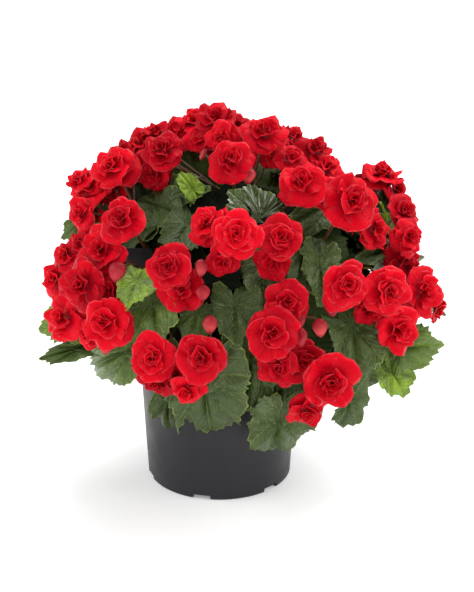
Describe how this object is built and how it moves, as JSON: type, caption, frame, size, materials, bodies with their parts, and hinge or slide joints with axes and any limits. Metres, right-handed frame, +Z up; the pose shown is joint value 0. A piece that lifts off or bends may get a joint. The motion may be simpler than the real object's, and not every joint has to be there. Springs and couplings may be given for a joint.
{
  "type": "potted flowering begonia",
  "caption": "Bushy double-flowered begonia in full bloom: ruffled rosette blooms, buds and toothed lopsided leaves on a dome over a plain tapered nursery pot.",
  "frame": {"origin": "centre of the pot's flat base, on the surface that it stands on", "axes": "+Z up, the plant's front faces -Y, +X to the right as seen from the front"},
  "size_m": [0.4193, 0.408, 0.395],
  "materials": {
    "pot": "moulded, satin, dark anthracite",
    "soil": "damp potting mix, rough and crumbly",
    "label": "smooth, plain, near black",
    "foliage": "quilted waxy leaf, semi-gloss, paler at the edge",
    "bloom": "thin velvety petals, satin"
  },
  "bodies": {
    "root": {"leafy_stem_1": "foliage", "leafy_stem_2": "foliage", "leafy_stem_3": "foliage", "leafy_stem_4": "foliage", "leafy_stem_5": "foliage", "leafy_stem_6": "foliage", "leafy_stem_7": "foliage", "leafy_stem_8": "foliage", "leafy_stem_9": "foliage", "plant_label": "label", "pot": "pot", "soil": "soil", "spray_brow_left": "bloom", "spray_brow_right": "bloom", "spray_crown_far_left": "bloom", "spray_crown_far_right": "bloom", "spray_crown_heart": "bloom", "spray_crown_left": "bloom", "spray_crown_left_under": "bloom", "spray_crown_mid": "bloom", "spray_crown_mid_left": "bloom", "spray_crown_right": "bloom", "spray_left": "bloom", "spray_left_back": "bloom", "spray_left_edge": "bloom", "spray_left_low": "bloom", "spray_left_low_back": "bloom", "spray_left_low_edge": "bloom", "spray_left_low_front": "bloom", "spray_left_low_front_back": "bloom", "spray_left_middle": "bloom", "spray_left_middle_back": "bloom", "spray_left_upper": "bloom", "spray_low_left": "bloom", "spray_low_left_back": "bloom", "spray_low_middle": "bloom", "spray_low_middle_back": "bloom", "spray_low_right": "bloom", "spray_low_right_back": "bloom", "spray_middle": "bloom", "spray_middle_back": "bloom", "spray_middle_low": "bloom", "spray_middle_low_back": "bloom", "spray_middle_right": "bloom", "spray_middle_right_back": "bloom", "spray_right_edge": "bloom", "spray_right_edge_upper": "bloom", "spray_right_front": "bloom", "spray_right_front_back": "bloom", "spray_right_low": "bloom", "spray_right_low_back": "bloom", "spray_right_peak": "bloom", "spray_right_top": "bloom"}
  },
  "joints": []
}
